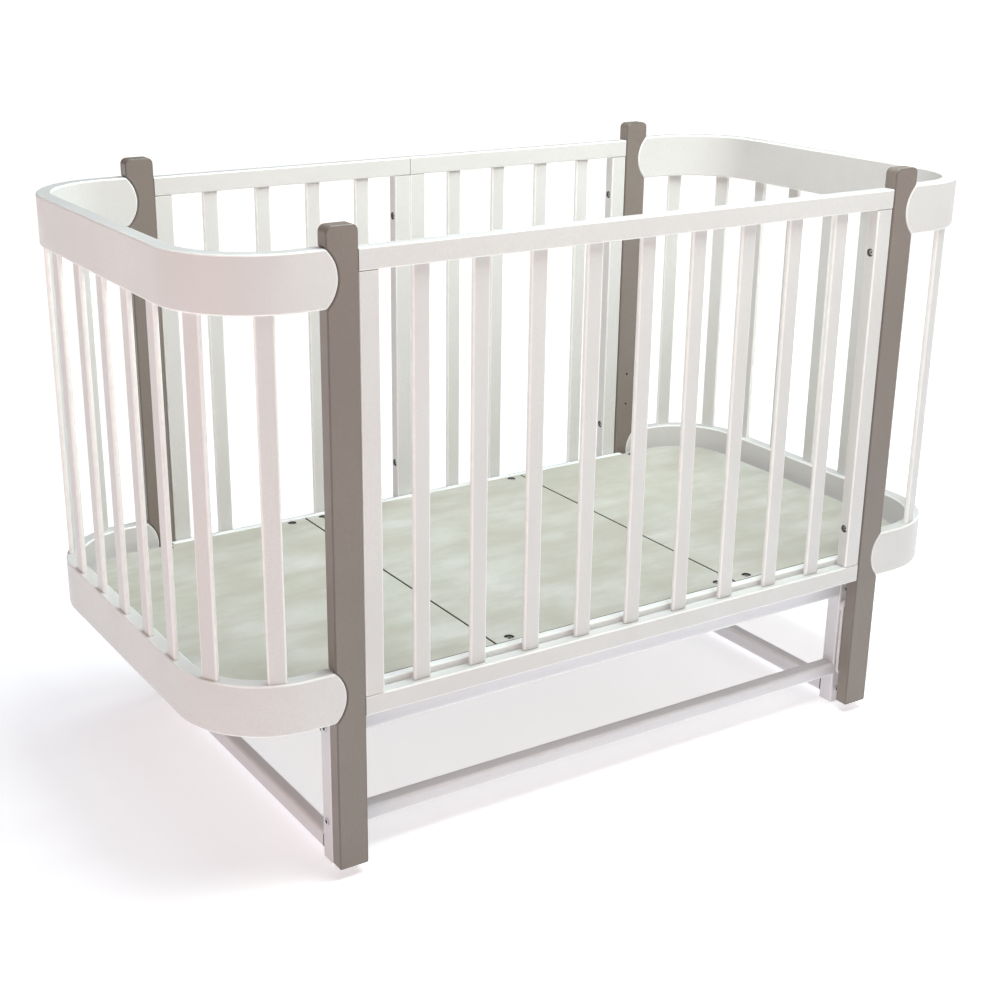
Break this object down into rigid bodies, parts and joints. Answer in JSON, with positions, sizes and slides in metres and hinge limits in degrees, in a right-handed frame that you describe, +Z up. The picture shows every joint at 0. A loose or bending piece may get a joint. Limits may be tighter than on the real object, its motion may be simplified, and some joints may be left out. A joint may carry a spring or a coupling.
{
  "type": "pendulum crib",
  "caption": "Oval slatted baby crib with bent end rails and four corner posts, hung lengthways on swing arms from a low floor stand.",
  "frame": {"origin": "on the floor, under the middle of the crib", "axes": "+X along the crib's length and its swing, -Y the front with the full-length side panel, +Z up"},
  "size_m": [1.288, 0.652, 0.8705],
  "materials": {
    "white_enamel": "satin white enamel on beech and bent plywood",
    "taupe_enamel": "satin grey-brown enamel on beech",
    "stand_enamel": "satin cool white enamel on beech",
    "base_laminate": "pale grey-green laminate on board",
    "arm_enamel": "white powder coat on steel",
    "zinc_steel": "zinc-plated steel"
  },
  "bodies": {
    "stand": {"stand_leg_front_left": "stand_enamel", "stand_leg_front_right": "stand_enamel", "stand_leg_back_left": "stand_enamel", "stand_leg_back_right": "stand_enamel", "stand_upper_cross_rail_left": "stand_enamel", "stand_lower_cross_rail_left": "stand_enamel", "stand_upper_cross_rail_right": "stand_enamel", "stand_lower_cross_rail_right": "stand_enamel", "stand_upper_rail_front": "stand_enamel", "stand_lower_rail_front": "stand_enamel", "stand_upper_rail_back": "stand_enamel", "stand_lower_rail_back": "stand_enamel", "upper_pivot_bolt_front_left": "zinc_steel", "upper_pivot_bolt_front_right": "zinc_steel", "upper_pivot_bolt_back_left": "zinc_steel", "upper_pivot_bolt_back_right": "zinc_steel"},
    "crib": {"post_front_left": "taupe_enamel", "post_front_right": "taupe_enamel", "post_back_left": "taupe_enamel", "post_back_right": "taupe_enamel", "upper_end_rail_left": "white_enamel", "lower_end_rail_left": "white_enamel", "upper_end_rail_right": "white_enamel", "lower_end_rail_right": "white_enamel", "front_top_rail": "white_enamel", "front_bottom_rail": "white_enamel", "front_stile_left": "white_enamel", "front_stile_right": "white_enamel", "front_slat_1": "white_enamel", "front_slat_2": "white_enamel", "front_slat_3": "white_enamel", "front_slat_4": "white_enamel", "front_slat_5": "white_enamel", "front_slat_6": "white_enamel", "front_slat_7": "white_enamel", "front_slat_8": "white_enamel", "front_slat_9": "white_enamel", "back_left_top_rail": "white_enamel", "back_left_bottom_rail": "white_enamel", "back_left_outer_stile": "white_enamel", "back_left_centre_stile": "white_enamel", "back_right_top_rail": "white_enamel", "back_right_bottom_rail": "white_enamel", "back_right_outer_stile": "white_enamel", "back_right_centre_stile": "white_enamel", "base_board_left": "base_laminate", "base_board_centre": "base_laminate", "base_board_right": "base_laminate", "base_bearer_left": "white_enamel", "base_bearer_right": "white_enamel", "base_ledger_front": "white_enamel", "base_ledger_back": "white_enamel", "lower_pivot_bolt_front_left": "zinc_steel", "lower_pivot_bolt_front_right": "zinc_steel", "lower_pivot_bolt_back_left": "zinc_steel", "lower_pivot_bolt_back_right": "zinc_steel"},
    "arm_front_left": {"swing_arm_front_left": "arm_enamel"},
    "arm_front_right": {"swing_arm_front_right": "arm_enamel"},
    "arm_back_left": {"swing_arm_back_left": "arm_enamel"},
    "arm_back_right": {"swing_arm_back_right": "arm_enamel"}
  },
  "joints": [
    {"name": "swing", "type": "hinge", "parent": "stand", "child": "arm_front_left", "pos_m": [-0.4595, -0.2937, 0.171], "axis": [0, 1, 0], "range_deg": [-20, 20]},
    {"name": "crib_level", "type": "hinge", "parent": "arm_front_left", "child": "crib", "pos_m": [-0.4595, -0.2937, 0.068], "axis": [0, 1, 0], "range_deg": [-20.5, 20.5]},
    {"name": "swing_front_right", "type": "hinge", "parent": "stand", "child": "arm_front_right", "pos_m": [0.4595, -0.2937, 0.171], "axis": [0, 1, 0], "range_deg": [-20.5, 20.5]},
    {"name": "swing_back_left", "type": "hinge", "parent": "stand", "child": "arm_back_left", "pos_m": [-0.4595, 0.2937, 0.171], "axis": [0, 1, 0], "range_deg": [-20.5, 20.5]},
    {"name": "swing_back_right", "type": "hinge", "parent": "stand", "child": "arm_back_right", "pos_m": [0.4595, 0.2937, 0.171], "axis": [0, 1, 0], "range_deg": [-20.5, 20.5]}
  ],
  "couplings": [
    {"joint": "crib_level", "follows": "swing", "ratio": -1},
    {"joint": "swing_front_right", "follows": "swing", "ratio": 1},
    {"joint": "swing_back_left", "follows": "swing", "ratio": 1},
    {"joint": "swing_back_right", "follows": "swing", "ratio": 1}
  ]
}
